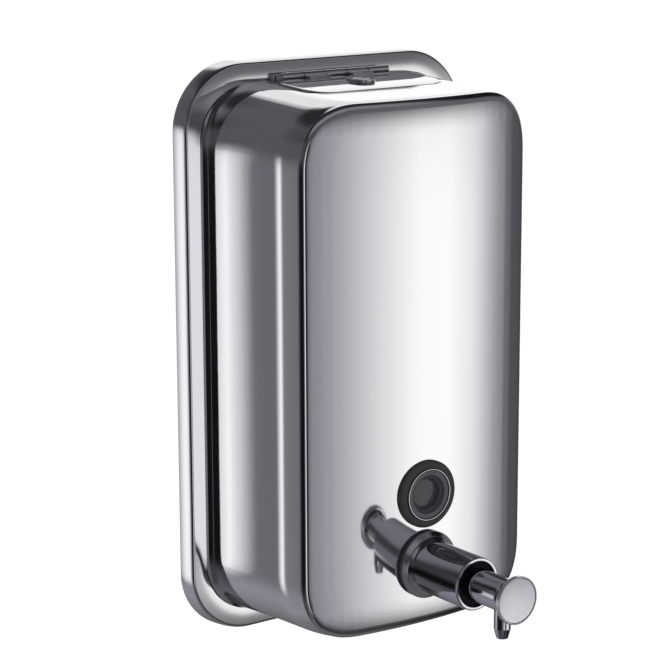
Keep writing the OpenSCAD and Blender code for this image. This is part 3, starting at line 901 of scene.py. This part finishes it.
low_ring = around(
    (-180, 96, 0.05), (-150, 96, 0.06), (-142, 106, 0.05), (-137, 205, 0.02), (-132, 246, 0), (-128, 205, 0),
    (-124, 122, 0.03), (-112, 106, 0.03), (-105, 20, 0.05), (-46, 14, 0), (-40, 104, 0.07), (-22, 112, 0.07),
    (-18, 228, 0.02), (-8, 228, 0.02), (-4, 16, 0), (2, 16, 0), (6, 124, 0.05), (14, 162, 0.04),
    (24, 210, 0.01), (36, 248, 0), (45, 250, 0), (53, 226, 0), (60, 160, 0.04), (66, 80, 0.05), (80, 60, 0),
    (124, 116, 0.03), (132, 240, 0), (140, 180, 0), (150, 96, 0.04), (180, 96, 0.05),
)
mid_ring = around(
    (-180, 84, 0.04), (-150, 84, 0.06), (-100, 78, 0.04), (-50, 55, 0), (0, 74, 0.03), (36, 96, 0.03),
    (70, 84, 0.03), (104, 120, 0.02), (118, 250, 0), (160, 252, 0), (172, 110, 0.03), (180, 84, 0.04),
)
floor_ring = around(
    (-180, 120, 0.05), (-150, 138, 0.06), (-118, 130, 0.06), (-104, 60, 0.04), (-60, 66, 0.05),
    (-40, 88, 0.06), (-20, 92, 0.06), (-12, 20, 0), (0, 56, 0.04), (36, 60, 0.02), (66, 20, 0),
    (120, 60, 0), (180, 120, 0.04),
)
high_ring = around(
    (-180, 84, 0.04), (-150, 84, 0.04), (-112, 62, 0.03), (-60, 20, 0), (-40, 112, 0.05), (0, 122, 0.06),
    (40, 112, 0.05), (56, 20, 0), (112, 14, 0), (124, 215, 0), (160, 225, 0), (170, 90, 0.03),
    (180, 84, 0.04),
)

room = bpy.data.worlds.new("studio")
room.use_nodes = True
bpy.context.scene.world = room
room.node_tree.nodes.clear()
studio = Graph(room.node_tree)
heading = studio.node("ShaderNodeTexCoord", output="Generated")
east, north, up = (
    studio.node("ShaderNodeSeparateXYZ", None, {0: heading}, output=axis) for axis in range(3)
)
bearing = east.maths("ARCTAN2", east, north * -1) / (2 * math.pi) + 0.5
rings = [
    studio.node("ShaderNodeValToRGB", {"stops": stops}, {"Fac": bearing})
    for stops in (floor_ring, low_ring, mid_ring, high_ring)
]


ground, ceiling = (0.12, 0.12, 0.125, 1), (0.02, 0.02, 0.022, 1)
mirrored = studio.mix(up.clipped(-0.90, -0.70), ground, rings[0])
for (low, high), ring in zip(((-0.55, -0.30), (-0.17, 0.08), (0.22, 0.42)), rings[1:]):
    mirrored = studio.mix(up.clipped(low, high), mirrored, ring)
mirrored = studio.mix(up.clipped(0.62, 0.78), mirrored, ceiling)
soft = studio.mix(up.clipped(-1.0, 1.0), (0.75, 0.75, 0.76, 1), (1.0, 1.0, 1.0, 1))
glossy, direct = (
    studio.node("ShaderNodeLightPath", output=kind) for kind in ("Is Glossy Ray", "Is Camera Ray")
)
light = studio.mix(direct, studio.mix(glossy, soft, mirrored), (1, 1, 1, 1))
sky = studio.node("ShaderNodeBackground", None, {"Color": light})
room_out = studio.tree.nodes.new("ShaderNodeOutputWorld")
studio.feed(room_out.inputs["Surface"], sky)
bpy.context.scene.view_settings.view_transform = "Standard"


# ---------------------------------------------------------------------------
# Floor
# A plain pale floor, well below the wall-hung tank. The steel doesn't mirror
# it, so that the rings alone set its reflections.

floor_drop = 0.4
floor_mesh = bmesh.new()
bmesh.ops.create_grid(floor_mesh, x_segments=1, y_segments=1, size=20)
bmesh.ops.translate(floor_mesh, verts=floor_mesh.verts, vec=(0, 0, cad_box[0][2] - floor_drop))
floor_data = bpy.data.meshes.new("floor")
floor_mesh.to_mesh(floor_data)
floor_mesh.free()
floor = bpy.data.objects.new("floor", floor_data)
bpy.context.scene.collection.objects.link(floor)
pale = Finish("pale floor", Roughness=1)
pale.wear(Base_Color=(0.8, 0.8, 0.8, 1), Emission_Color=(1, 1, 1, 1), Emission_Strength=0.3)
floor_data.materials.append(pale.material)
floor.visible_glossy = False


# ---------------------------------------------------------------------------
# Camera
# A long lens from the front left, a little above the middle of the tank.

stand_off = 0.8685
focal_length = 125.14
aim = Vector((-5.1, -10.2, 7.55)) * mm
azimuth, elevation, roll = (math.radians(angle) for angle in (-35.842, 12.228, -0.258))
back = Vector(
    (math.sin(azimuth) * math.cos(elevation), -math.cos(azimuth) * math.cos(elevation), math.sin(elevation))
)
lens = bpy.data.cameras.new("camera")
lens.lens = focal_length
lens.sensor_width = 36
lens.clip_start = 0.05
camera = bpy.data.objects.new("camera", lens)
bpy.context.scene.collection.objects.link(camera)
camera.location = aim + back * stand_off
camera.rotation_euler = (
    (-back).to_track_quat("-Z", "Y").to_matrix() @ Matrix.Rotation(roll, 3, "Z")
).to_euler()
bpy.context.scene.camera = camera
